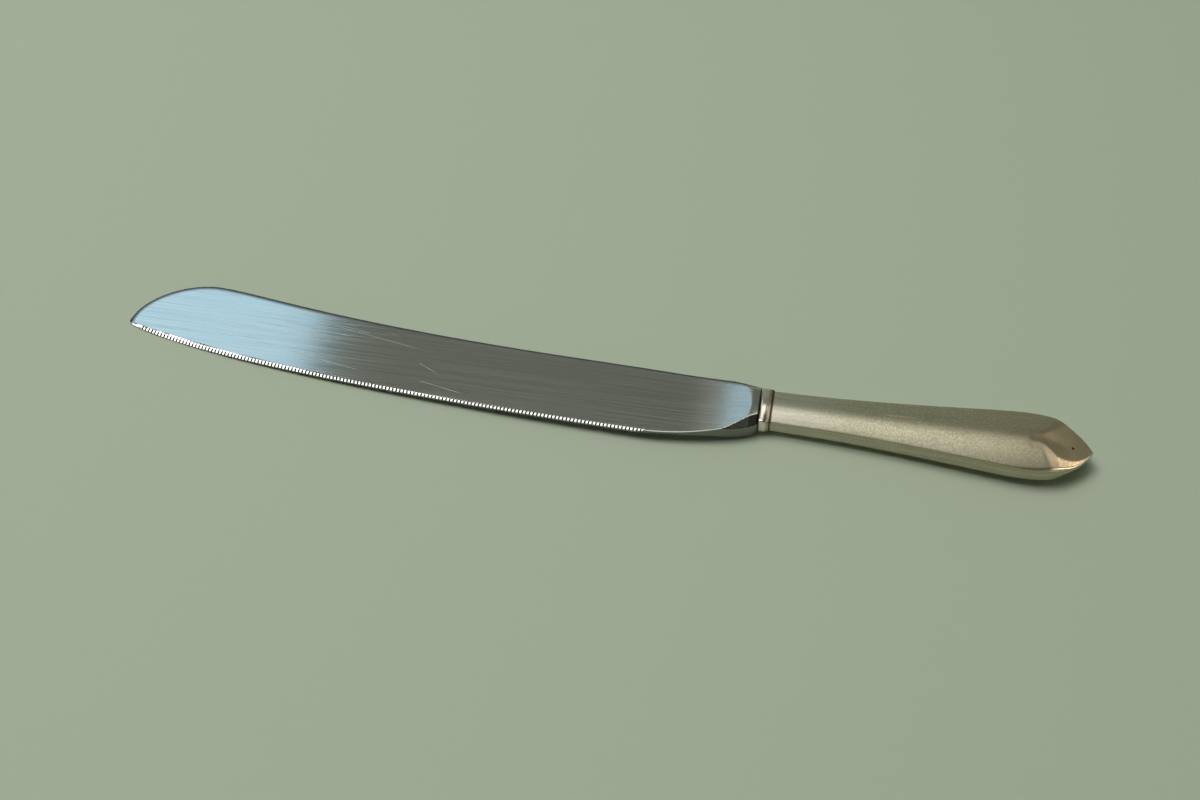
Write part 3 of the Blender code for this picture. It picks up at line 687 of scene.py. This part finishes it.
def make_shell(name, sign, stem_steps, point_steps, rows):
    """One half of the handle: sign is 1 for the upper half and -1 for the lower one."""
    stem = np.linspace(FIT_GAP, TURN_X, stem_steps)
    turn = np.linspace(0, 1, point_steps + 1)[1:]
    turn = TURN_EVEN * turn + TURN_EASED * np.sin(turn * math.pi / 2)
    x = np.concatenate([stem, TURN_X + (HANDLE_LENGTH - TURN_X) * turn])
    half = np.maximum(at(handle_curve(), x), POINT_WIDTH / 2)
    seam = SEAM_THICKNESS / 2

    # Across the outside: up the wall, round the corner, over the crown and down again
    wide = half[:, None]
    grown = np.clip((x - HANDLE_LENGTH + POINT_ROUND_SETBACK) / POINT_ROUND_RUN, 0, 1)
    front = np.minimum(HANDLE_ROUND + (POINT_ROUND - HANDLE_ROUND) * grown, HANDLE_ROUND_SHARE * half)
    front = np.minimum(front, (handle_form(x, -half, half)[0] - seam) / 2)[:, None]
    back = np.minimum(HANDLE_ROUND, HANDLE_ROUND_SHARE * half)
    back = np.minimum(back, (handle_form(x, half, half)[0] - seam) / 2)[:, None]
    across = front - wide + (2 * wide - front - back) * np.linspace(0, 1, rows)
    y = np.hstack([(front * ROUND_BEND - wide)[:, ::-1], across, wide - back * ROUND_BEND])
    top, inside, rolled, flat = handle_form(x[:, None], y, wide)
    top = top - round_drop(wide - np.abs(y), np.where(y < 0, front, back))
    wall_steps = np.linspace(0, 1, WALL_ROWS)[:-1]
    front_z = seam + (top[:, :1] - seam) * wall_steps
    back_z = seam + (top[:, -1:] - seam) * wall_steps[::-1]
    wall_y = np.repeat(wide, len(wall_steps), axis=1)
    from_rim = wide - np.abs(y)
    y = np.hstack([-wall_y, y, wall_y])
    z = np.hstack([front_z, top, back_z])
    outer = np.stack([np.broadcast_to(x[:, None], y.shape), y, z * sign], axis=-1)

    # Inside: the cavity, which ends short of the point
    hollow = x < CAVITY_X - CAVITY_END_WALL
    lane = np.linspace(1, -1, CAVITY_LANES)
    inner_half = np.where(hollow, half - SHELL_WALL, half / 2)
    inner_y = inner_half[:, None] * lane
    inner_x = np.broadcast_to(x[:, None], inner_y.shape)
    roof = handle_form(inner_x, inner_y, wide)[0]
    inner_z = np.where(hollow[:, None], np.maximum(roof - SHELL_ROOF, seam), seam)
    inner_z[:, [0, -1]] = seam
    inner = np.stack([inner_x, inner_y, inner_z * sign], axis=-1)
    loops = np.concatenate([outer, inner], axis=1)

    # Marks that the silver reads, each with its values on the front wall and the back wall
    shell = mesh_object(name, loops, flip=sign > 0)
    none = np.zeros_like(front_z)
    full = np.ones_like(front_z)
    front_depth = np.abs(top[:, :1] - front_z) * MILLIMETRES
    back_depth = np.abs(top[:, -1:] - back_z) * MILLIMETRES
    marks = [
        ("facet", none, inside, none),
        ("roll", none, rolled, none),
        ("flat", none, flat, none),
        ("wall", full, np.zeros_like(top), full),
        ("crease", front_depth, from_rim * MILLIMETRES, back_depth),
    ]
    for mark, on_front, above, on_back in marks:
        store(shell, mark, np.hstack([on_front, above, on_back, np.zeros_like(inner_y)]))
    return shell


def drill_vent(shell):
    """Cuts the pinhole that lets the handle breathe while it is soldered."""
    bpy.ops.mesh.primitive_cylinder_add(
        vertices=VENT_SIDES,
        radius=VENT_DIAMETER / 2,
        depth=POMMEL_THICKNESS,
        location=(HANDLE_LENGTH - VENT_SETBACK, 0, POMMEL_THICKNESS / 2),
    )
    drill = bpy.context.object
    cut = shell.modifiers.new("vent", "BOOLEAN")
    cut.operation = "DIFFERENCE"
    cut.solver = "EXACT"
    cut.object = drill
    graph = bpy.context.evaluated_depsgraph_get()
    drilled = shell.evaluated_get(graph)
    mesh = bpy.data.meshes.new_from_object(drilled, preserve_all_data_layers=True, depsgraph=graph)
    shell.modifiers.clear()
    shell.data = mesh
    bpy.data.objects.remove(drill, do_unlink=True)


def make_seam():
    """The solder between the shells' rims, drawn along the handle's outline from mouth to mouth."""
    stem = np.linspace(FIT_GAP, POMMEL_X, SEAM_STEM_STEPS)
    x = np.concatenate([stem, np.linspace(POMMEL_X, HANDLE_LENGTH, SEAM_POINT_STEPS)[1:]])
    half = np.maximum(at(handle_curve(), x), POINT_WIDTH / 2)
    inner_x = np.minimum(x, CAVITY_X)
    inner_half = np.maximum(half - SHELL_WALL, POINT_WIDTH / 4)
    inner_half[x > CAVITY_X] *= SEAM_POINT_SHARE
    z = SEAM_THICKNESS / 2
    loops = []
    order = list(range(len(x)))
    for side, places in ((1, order), (-1, order[::-1])):
        for i in places:
            out = (x[i], side * half[i])
            back = (inner_x[i], side * inner_half[i])
            loops.append([(*out, z), (*out, -z), (*back, -z), (*back, z)])
    return mesh_object("seam_fine", np.array(loops), flip=True)


def ring(x, half_width, half_thickness, radius, corner):
    """A loop round the neck: straight side walls, round corners and arched faces."""
    arch = radius - corner
    wall_y = half_width - corner
    arch_z = half_thickness - radius
    wall_z = arch_z + math.sqrt(arch**2 - wall_y**2)
    turn = math.atan2(wall_z - arch_z, wall_y)
    upper = []
    for angle in np.linspace(0, turn, RING_CORNER_STEPS):
        upper.append((wall_y + corner * math.cos(angle), wall_z + corner * math.sin(angle)))
    for angle in np.linspace(turn, math.pi - turn, RING_FACE_STEPS)[1:-1]:
        upper.append((radius * math.cos(angle), arch_z + radius * math.sin(angle)))
    for angle in np.linspace(math.pi - turn, math.pi, RING_CORNER_STEPS):
        upper.append((corner * math.cos(angle) - wall_y, wall_z + corner * math.sin(angle)))
    walls = [(-half_width, wall_z * share) for share in RING_WALL_SHARES]
    lower = [(-y, -z) for y, z in upper]
    far = [(half_width, -wall_z * share) for share in RING_WALL_SHARES]
    return [(x, y, z) for y, z in upper + walls + lower + far]


def make_collar():
    """A half-round bead with a lower step behind it, round the mouth of the handle."""
    half = float(at(handle_curve(), FIT_GAP + COLLAR_WIDTH))
    bead = COLLAR_WIDTH * BEAD_SHARE
    profile = [(0.0, 0.0)]
    for angle in np.linspace(*BEAD_ANGLES, BEAD_STEPS):
        rise = COLLAR_RIM + (COLLAR_RISE - COLLAR_RIM) * math.sin(angle)
        profile.append((bead / 2 * (1 - math.cos(angle)), rise))
    step = COLLAR_WIDTH - bead
    for share, rise_share in STEP_PROFILE:
        profile.append((bead + step * share, STEP_RISE * rise_share))
    profile.append((COLLAR_WIDTH, 0.0))
    loops = []
    for x, rise in profile:
        grow = FIT_GAP + rise
        half_thickness = NECK_THICKNESS / 2 + grow
        radius = NECK_CROWN_RADIUS + grow
        loops.append(ring(FIT_GAP + x, half + grow, half_thickness, radius, HANDLE_CORNER + grow))
    return mesh_object("collar_fine", np.array(loops), closed_along=True)


# Shader helpers
def start_material(name, colour, roughness, metallic=1.0, anisotropy=0.0):
    """A new material with its node tree and its shader."""
    material = bpy.data.materials.new(name)
    material.use_nodes = True
    tree = material.node_tree
    shader = tree.nodes["Principled BSDF"]
    shader.inputs["Base Color"].default_value = (*colour, 1)
    shader.inputs["Roughness"].default_value = roughness
    shader.inputs["Metallic"].default_value = metallic
    if anisotropy:
        shader.inputs["Anisotropic"].default_value = anisotropy
        tangent = tree.nodes.new("ShaderNodeTangent")
        tangent.direction_type = "UV_MAP"
        tangent.uv_map = "grain"
        tree.links.new(tangent.outputs["Tangent"], shader.inputs["Tangent"])
    return material, tree, shader


def texture_space(tree, scale, turn):
    """The knife's own coordinates, turned about Z and scaled."""
    source = tree.nodes.new("ShaderNodeTexCoord")
    mapping = tree.nodes.new("ShaderNodeMapping")
    mapping.vector_type = "POINT"
    mapping.inputs["Rotation"].default_value = (0, 0, math.radians(turn))
    stretch = tree.nodes.new("ShaderNodeVectorMath")
    stretch.operation = "MULTIPLY"
    stretch.inputs[1].default_value = scale
    tree.links.new(source.outputs["Object"], mapping.inputs["Vector"])
    tree.links.new(mapping.outputs["Vector"], stretch.inputs[0])
    return stretch.outputs["Vector"]


def noise(tree, scale, detail=2.0, rough=0.5, turn=0.0):
    """Noise with its own scale along each axis, turned by an angle in degrees."""
    node = tree.nodes.new("ShaderNodeTexNoise")
    node.inputs["Scale"].default_value = 1.0
    node.inputs["Detail"].default_value = detail
    node.inputs["Roughness"].default_value = rough
    tree.links.new(texture_space(tree, scale, turn), node.inputs["Vector"])
    return node.outputs["Fac"]


def attribute(tree, name):
    """A number that was stored on the mesh."""
    node = tree.nodes.new("ShaderNodeAttribute")
    node.attribute_name = name
    return node.outputs["Fac"]


def own(tree, axis):
    """The place on the knife, from its shoulder, in millimetres."""
    return attribute(tree, "own_" + axis)


def remap(tree, value, low, high, to_low=0.0, to_high=1.0):
    """Takes one range of numbers smoothly to another, and holds still beyond it."""
    node = tree.nodes.new("ShaderNodeMapRange")
    node.clamp = True
    node.interpolation_type = "SMOOTHSTEP"
    for socket, number in zip(("From Min", "From Max", "To Min", "To Max"), (low, high, to_low, to_high)):
        node.inputs[socket].default_value = number
    tree.links.new(value, node.inputs["Value"])
    return node.outputs["Result"]


def sums(tree, operation, a, b):
    """One step of arithmetic between two sockets or numbers."""
    node = tree.nodes.new("ShaderNodeMath")
    node.operation = operation
    for socket, value in zip(node.inputs, (a, b)):
        if isinstance(value, (int, float)):
            socket.default_value = value
        else:
            tree.links.new(value, socket)
    return node.outputs["Value"]


def plus(tree, a, b):
    return sums(tree, "ADD", a, b)


def minus(tree, a, b):
    return sums(tree, "SUBTRACT", a, b)


def times(tree, a, b):
    return sums(tree, "MULTIPLY", a, b)


def most(tree, a, b):
    return sums(tree, "MAXIMUM", a, b)


def mixed(tree, share, a, b):
    """A colour between two, each a socket or a fixed colour."""
    node = tree.nodes.new("ShaderNodeMix")
    node.data_type = "RGBA"
    tree.links.new(share, node.inputs["Factor"])
    for socket, value in zip(MIX_COLOURS, (a, b)):
        if isinstance(value, tuple):
            node.inputs[socket].default_value = (*value, 1)
        else:
            tree.links.new(value, node.inputs[socket])
    return node.outputs[MIX_RESULT]


def bumped(tree, shader, height, distance):
    """Lets a height, up to a distance in metres, bend the shader's normal."""
    node = tree.nodes.new("ShaderNodeBump")
    node.inputs["Strength"].default_value = 1.0
    node.inputs["Distance"].default_value = distance
    tree.links.new(height, node.inputs["Height"])
    tree.links.new(node.outputs["Normal"], shader.inputs["Normal"])


def stroke(tree, start, length, turn, half):
    """A straight scratch: where it starts, how long it is, how far it turns and half its width."""
    x = minus(tree, own(tree, "X"), start[0])
    y = minus(tree, own(tree, "Y"), start[1])
    cos, sin = math.cos(turn), math.sin(turn)
    run = plus(tree, times(tree, x, cos), times(tree, y, sin))
    side = minus(tree, times(tree, y, cos), times(tree, x, sin))
    thin = remap(tree, sums(tree, "ABSOLUTE", side, 0), half / 2, half, 1.0, 0.0)
    starts = remap(tree, run, 0, STROKE_STARTS * length)
    ends = remap(tree, run, length, STROKE_ENDS * length)
    return times(tree, thin, times(tree, starts, ends))


def steel():
    material, tree, shader = start_material("blade_steel", STEEL, 0.2, anisotropy=0.8)
    place_x = own(tree, "X")
    spine = attribute(tree, "spine")
    wall = attribute(tree, "wall")
    streak = noise(tree, (7, 1700, 0), detail=1.0)
    fine = noise(tree, (16, 4200, 0), detail=1.0)

    # Hairlines and scratches, on the half toward the tip
    worked = remap(tree, place_x, *WORKED_FADE)
    line = remap(tree, noise(tree, (6, 3000, 3000), detail=1.0, turn=2.0), 0.63, 0.71)
    patch = remap(tree, noise(tree, (20, 120, 120)), 0.45, 0.65)
    patch = times(tree, patch, worked)
    scratch = times(tree, line, times(tree, patch, 0.8))
    for start, length, turn in SCRATCHES:
        scratch = most(tree, scratch, stroke(tree, start, length, turn, SCRATCH_HALF))
    hair = times(tree, remap(tree, fine, 0.40, 0.66), worked)

    # Colour: brushed streaks, the scratches, then painted shade: a dark reflection along the spine, and
    # shade at the shoulder, in the notches and on the edge wall
    brushed = minus(tree, remap(tree, place_x, *BRUSHED_FADE, 1.0, 0.35), wall)
    streak = times(tree, remap(tree, streak, 0.34, 0.66), most(tree, brushed, 0.0))
    colour = mixed(tree, streak, *STEEL_STREAKS)
    colour = mixed(tree, times(tree, worked, 0.6), colour, STEEL_WORKED)
    colour = mixed(tree, hair, colour, STEEL_HAIR)
    colour = mixed(tree, times(tree, scratch, 0.65), colour, STEEL_SCRATCH)
    # Painted dark reflection along the spine's rounded edge
    colour = mixed(tree, times(tree, spine, 0.85), colour, STEEL_SPINE_SHADE)
    # Painted shade at the shoulder
    colour = mixed(tree, attribute(tree, "shoulder"), colour, STEEL_SHOULDER_SHADE)
    # Painted shade in the notches
    colour = mixed(tree, attribute(tree, "notch"), colour, STEEL_NOTCH_SHADE)
    # Painted shade on the edge wall
    colour = mixed(tree, times(tree, wall, 0.85), colour, STEEL_WALL_SHADE)
    tree.links.new(colour, shader.inputs["Base Color"])

    # Roughness: bright metal, duller on the scratches, the spine and the hollow
    rough = times(tree, remap(tree, fine, 0.3, 0.7, 0.0, 0.06), minus(tree, 1.0, wall))
    rough = plus(tree, rough, 0.09)
    rough = plus(tree, rough, times(tree, scratch, 0.26))
    rough = plus(tree, rough, times(tree, spine, 0.2))
    hollow = times(tree, remap(tree, place_x, *HOLLOW_START), remap(tree, place_x, *HOLLOW_END))
    rough = plus(tree, rough, times(tree, hollow, 0.14))
    tree.links.new(rough, shader.inputs["Roughness"])
    bumped(tree, shader, streak, distance=0.000002)
    return material


def silver(name, tint):
    material, tree, shader = start_material(name, tint, 0.36)
    place_x = own(tree, "X")
    grain = noise(tree, (2600, 2600, 2600), rough=0.6)
    mottle = noise(tree, (1700, 1900, 1900), detail=3.0, rough=0.6)
    cloud = noise(tree, (60, 130, 130))
    lines = noise(tree, (18, 900, 1000))
    brush = noise(tree, (22, 1500, 1500))
    smooth = remap(tree, attribute(tree, "facet"), 0.05, 0.5)
    lit = attribute(tree, "roll")
    wall = attribute(tree, "wall")
    dull = tuple(c * k for c, k in zip(tint, DULL_SHARES))
    brown = tuple(c * k for c, k in zip(tint, BROWN_SHARES))

    # Patina: mottled and brushed all over, paler by the neck with polished wear and a painted highlight,
    # and browner toward the point
    patina = times(tree, remap(tree, mottle, 0.38, 0.64), remap(tree, smooth, 0.0, 1.0, 1.0, 0.8))
    colour = mixed(tree, patina, tint, dull)
    colour = mixed(tree, remap(tree, place_x, *NECK_FADE, 0.0, 0.55), colour, SILVER_NECK_WEAR_AND_HIGHLIGHT)
    colour = mixed(tree, remap(tree, place_x, *POMMEL_FADE, 0.0, 0.28), colour, brown)
    colour = mixed(tree, remap(tree, brush, 0.45, 0.70, 0.0, 0.45), colour, dull)
    # A painted highlight streak on the upper shell, which is also smoother
    highlight_streak = times(tree, stroke(tree, *HIGHLIGHT_STREAK), remap(tree, own(tree, "Z"), 0, 1, 0.0, 0.8))
    colour = mixed(tree, highlight_streak, colour, SILVER_STREAK_HIGHLIGHT)
    drawn = times(tree, wall, remap(tree, lines, 0.40, 0.62, 0.0, 0.6))
    colour = mixed(tree, drawn, colour, brown)
    colour = mixed(tree, remap(tree, cloud, 0.55, 0.80, 0.0, 0.3), colour, brown)

    # Browner along the rim, grime at the mouth, brown tarnish and painted shade on the facet, less on its
    # roll, a painted highlight on the eased flat and painted shade on the walls
    near = remap(tree, attribute(tree, "crease"), 0.10, 0.60, 0.55, 0.0)
    near = times(tree, near, remap(tree, place_x, *CREASE_END))
    colour = mixed(tree, near, colour, brown)
    mouth = remap(tree, place_x, *MOUTH_FADE, 0.9, 0.0)
    colour = mixed(tree, mouth, colour, GRIME)
    # Brown tarnish and painted shade on the facet, spared on its roll as a painted highlight
    dark = times(tree, smooth, remap(tree, lit, 0.0, 1.0, 0.36, 0.15))
    colour = mixed(tree, dark, colour, brown)
    # Painted highlight on the eased flat, stronger toward the front
    front = remap(tree, own(tree, "Y"), 1.0, -1.0, 0.0, 0.45)
    colour = mixed(tree, times(tree, attribute(tree, "flat"), front), colour, SILVER_FLAT_HIGHLIGHT)
    # Painted shade on the side walls
    colour = mixed(tree, times(tree, wall, 0.5), colour, SILVER_WALL_SHADE)
    tree.links.new(colour, shader.inputs["Base Color"])

    # Satin all over, calmer on the facet, its roll and the painted highlight streak
    rough = remap(tree, mottle, 0.3, 0.7, 0.0, 0.11)
    rough = times(tree, rough, remap(tree, smooth, 0, 1, 1.0, 0.7))
    rough = plus(tree, rough, remap(tree, lit, 0.0, 1.0, 0.29, 0.14))
    rough = plus(tree, rough, times(tree, smooth, 0.02))
    tree.links.new(rough, shader.inputs["Roughness"])
    calm = most(tree, most(tree, highlight_streak, lit), times(tree, smooth, 0.5))
    satin = times(tree, grain, remap(tree, calm, 0.0, 1.0, 1.0, 0.05))
    height = plus(tree, satin, times(tree, times(tree, lines, wall), 0.5))
    bumped(tree, shader, height, distance=0.00003)
    return material


def collar_silver():
    material, tree, shader = start_material("collar_silver", COLLAR_SILVER, 0.25)
    place_x = own(tree, "X")
    blot = noise(tree, (500, 500, 500))

    # Tarnish on the step, in a drop low on the front and along the rim
    step = remap(tree, place_x, *STEP_FADE)
    stain = times(tree, step, remap(tree, blot, 0.35, 0.60, 0.55, 0.85))
    drop = remap(tree, own(tree, "Z"), *DROP_FADE_Z)
    drop = times(tree, drop, remap(tree, own(tree, "Y"), *DROP_FADE_Y))
    drop = times(tree, drop, remap(tree, place_x, *DROP_FADE_X))
    drop = times(tree, drop, remap(tree, blot, 0.40, 0.60, 0.3, 0.8))
    rim = remap(tree, place_x, *COLLAR_RIM_FADE, 1.0, 0.0)
    tarnish = most(tree, most(tree, stain, times(tree, drop, 0.3)), rim)
    colour = mixed(tree, tarnish, COLLAR_CLEAN, COLLAR_TARNISH)
    colour = mixed(tree, remap(tree, place_x, *COLLAR_END_FADE, 0.0, 0.9), colour, GRIME)
    tree.links.new(colour, shader.inputs["Base Color"])
    tree.links.new(remap(tree, tarnish, 0.0, 0.7, 0.20, 0.45), shader.inputs["Roughness"])
    bumped(tree, shader, blot, distance=0.00001)
    return material


def solder():
    material, tree, shader = start_material("seam_solder", SOLDER, 0.4)
    lines = noise(tree, (80, 1800, 1800))
    colour = mixed(tree, remap(tree, lines, 0.3, 0.7), *SOLDER_LINES)
    tree.links.new(colour, shader.inputs["Base Color"])
    return material


def cement():
    material, tree, shader = start_material("cement", CEMENT, 0.9, metallic=0.0)
    grit = noise(tree, (700, 700, 700), detail=4.0, rough=0.7)
    colour = mixed(tree, grit, *CEMENT_GRIT)
    tree.links.new(colour, shader.inputs["Base Color"])
    bumped(tree, shader, grit, distance=0.0001)
    return material


def floor_paint():
    material, _, shader = start_material("floor_paint", FLOOR, 0.6, metallic=0.0)
    shader.inputs["Specular IOR Level"].default_value = 0.2
    return material


def area_light(name, place, aim, width, height, radiance, colour, glossy=True, diffuse=True, spin=0.0):
    """A soft panel of light, as bright as its radiance says when it is seen in a mirror."""
    data = bpy.data.lights.new(name, "AREA")
    data.shape = "RECTANGLE"
    data.size = width
    data.size_y = height
    data.energy = radiance * math.pi * width * height
    data.color = colour
    light = bpy.data.objects.new(name, data)
    bpy.context.scene.collection.objects.link(light)
    light.location = place
    turn = Matrix.Rotation(math.radians(spin), 3, "Z")
    aimed = (Vector(aim) - Vector(place)).to_track_quat("-Z", "Y").to_matrix()
    light.rotation_euler = (turn @ aimed).to_euler()
    light.visible_glossy = glossy
    light.visible_diffuse = diffuse


def light_room():
    """A dim room, paler behind the knife and low in front of it, for the metal to mirror."""
    world = bpy.data.worlds.new("studio")
    bpy.context.scene.world = world
    world.use_nodes = True
    tree = world.node_tree
    sky = tree.nodes["Background"]
    room = tree.nodes.new("ShaderNodeTexCoord")
    split = tree.nodes.new("ShaderNodeSeparateXYZ")
    tree.links.new(room.outputs["Generated"], split.inputs["Vector"])
    x, y, z = (split.outputs[axis] for axis in "XYZ")
    dim = plus(tree, remap(tree, y, *ROOM_BACK), remap(tree, y, *ROOM_FAR_BACK))
    dim = plus(tree, dim, times(tree, remap(tree, z, *ROOM_LOW), remap(tree, y, *ROOM_FRONT)))
    dim = times(tree, dim, remap(tree, x, *ROOM_RIGHT))
    tree.links.new(dim, sky.inputs["Strength"])
    sky.inputs["Color"].default_value = (*SKY_GREEN, 1)


def lay_down(pieces):
    """Tilts the pieces as the CAD lies, and moves them into its box."""
    tilt = Matrix.Rotation(REST_TILT, 4, "Y")
    points = np.array([tilt @ v.co for piece in pieces for v in piece.data.vertices])
    low, high = points.min(axis=0), points.max(axis=0)
    cad_low, cad_high = (np.array(corner) for corner in cad_box)
    middle = (cad_low[1] + cad_high[1] - low[1] - high[1]) / 2
    shift = Vector((cad_high[0] - high[0], middle, cad_low[2] - low[2]))
    for piece in pieces:
        piece.data.transform(Matrix.Translation(shift) @ tilt)


# The pieces, laid down as the CAD lies
blade = make_blade()
upper = make_shell("upper_shell_fine", 1, *UPPER_SHELL_STEPS)
drill_vent(upper)
lower = make_shell("lower_shell_fine", -1, *LOWER_SHELL_STEPS)
seam = make_seam()
collar = make_collar()
lay_down([blade, upper, lower, seam, collar])

looks = [
    (blade, "blade", "blade_steel", steel()),
    (upper, "upper_handle_shell", "upper_shell_silver", silver("upper_shell_silver", UPPER_SILVER)),
    (lower, "lower_handle_shell", "lower_shell_silver", silver("lower_shell_silver", LOWER_SILVER)),
    (seam, "seam_solder", "seam_solder", solder()),
    (collar, "collar", "collar_silver", collar_silver()),
]
for piece, node, slot, material in looks:
    piece.data.materials.clear()
    piece.data.materials.append(material)
    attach(piece, "root")
    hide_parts(node)
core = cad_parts["cement_core"]
core.data.materials.clear()
core.data.materials.append(cement())

# The floor
bpy.ops.mesh.primitive_plane_add(size=FLOOR_SIZE, location=(0, 0, 0))
floor = bpy.context.object
floor.name = "floor"
floor.data.materials.append(floor_paint())

# Lights, each with its place, aim, width, height, radiance and colour
area_light("window", (-2.71, 2.95, 4.2), (-2.71, 2.95, 0), 1.80, 2.4, 1.1, WINDOW_BLUE)
area_light("lamp", (-0.07, 0.25, 1.25), (-0.07, 0.25, 0), 0.70, 0.62, 1.14, LAMP_WHITE)
area_light("front", (-0.17, -0.24, 1.25), (-0.17, -0.24, 0), 0.50, 0.36, 1.1, LAMP_WHITE)
area_light("side", (-0.90, -0.70, 1.0), (-0.90, -0.70, 0), 1.70, 0.50, 3.2, (1.0, 1.0, 1.0), diffuse=False)
area_light(
    "right", (1.39, 0.585, 1.2), (1.39, 0.585, 0), 1.52, 0.24, 2.0, (1.0, 0.77, 0.62),
    diffuse=False, spin=22,
)
area_light("corner", (1.25, -0.14, 0.36), (0.15, 0, 0), 0.55, 0.45, 2.4, (1.0, 0.88, 0.76), diffuse=False)
area_light("rim", (1.13, -0.50, 0.44), (0.15, 0, 0), 0.45, 0.36, 4.0, (1.0, 0.80, 0.62), diffuse=False)
area_light("key", (-0.75, 0.15, 1.9), (0, 0, 0), 0.9, 0.9, 7.6, (1.0, 0.98, 0.96), glossy=False)
light_room()

# The camera, where the photograph was taken from
camera = bpy.data.objects.new("camera", bpy.data.cameras.new("camera"))
bpy.context.scene.collection.objects.link(camera)
camera.data.lens = CAMERA_LENS
camera.data.sensor_width = CAMERA_SENSOR
camera.location = CAMERA_PLACE
camera.rotation_euler = (math.radians(90 - CAMERA_LOOKS_DOWN), 0, math.radians(CAMERA_TURN))
bpy.context.scene.camera = camera
bpy.context.scene.view_settings.view_transform = "Standard"
